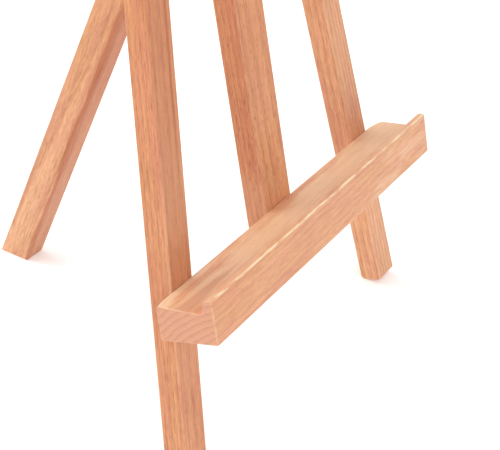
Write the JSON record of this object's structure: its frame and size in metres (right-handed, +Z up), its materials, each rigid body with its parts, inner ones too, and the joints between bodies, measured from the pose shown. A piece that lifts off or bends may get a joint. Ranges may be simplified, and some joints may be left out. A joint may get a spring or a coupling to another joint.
{
  "type": "plate display stand",
  "caption": "Folding A-frame table stand of wood: splayed legs flank a wider centre bar, a lipped shelf crosses them and a rear leg hinges behind to hold a plate or picture.",
  "frame": {"origin": "on the floor plane, midway between the front of the shelf and the back of the rear foot, on the middle of the stand", "axes": "+Z up, +X to the right as seen from the front, the shelf faces -Y and the rear leg stands towards +Y"},
  "size_m": [0.2302, 0.1984, 0.6007],
  "materials": {
    "leg_wood": "satin",
    "shelf_wood": "satin",
    "hinge_brass": "satin",
    "screw_steel": "zinc plated"
  },
  "bodies": {
    "frame": {"left_leg": "leg_wood", "right_leg": "leg_wood", "centre_bar": "leg_wood", "shelf": "shelf_wood", "hinge_frame_leaf": "hinge_brass", "hinge_pin": "hinge_brass", "hinge_frame_screws": "hinge_brass", "left_top_screws": "screw_steel", "right_top_screws": "screw_steel", "left_shelf_screw": "screw_steel", "right_shelf_screw": "screw_steel", "centre_shelf_screws": "screw_steel"},
    "rear_strut": {"rear_leg": "leg_wood", "hinge_leg_leaf": "hinge_brass", "hinge_leg_screws": "hinge_brass"}
  },
  "joints": [
    {"name": "rear_leg_fold", "type": "hinge", "parent": "frame", "child": "rear_strut", "pos_m": [0, -0.00319, 0.25655], "axis": [-1, 0, 0], "range_deg": [0, 34]}
  ]
}
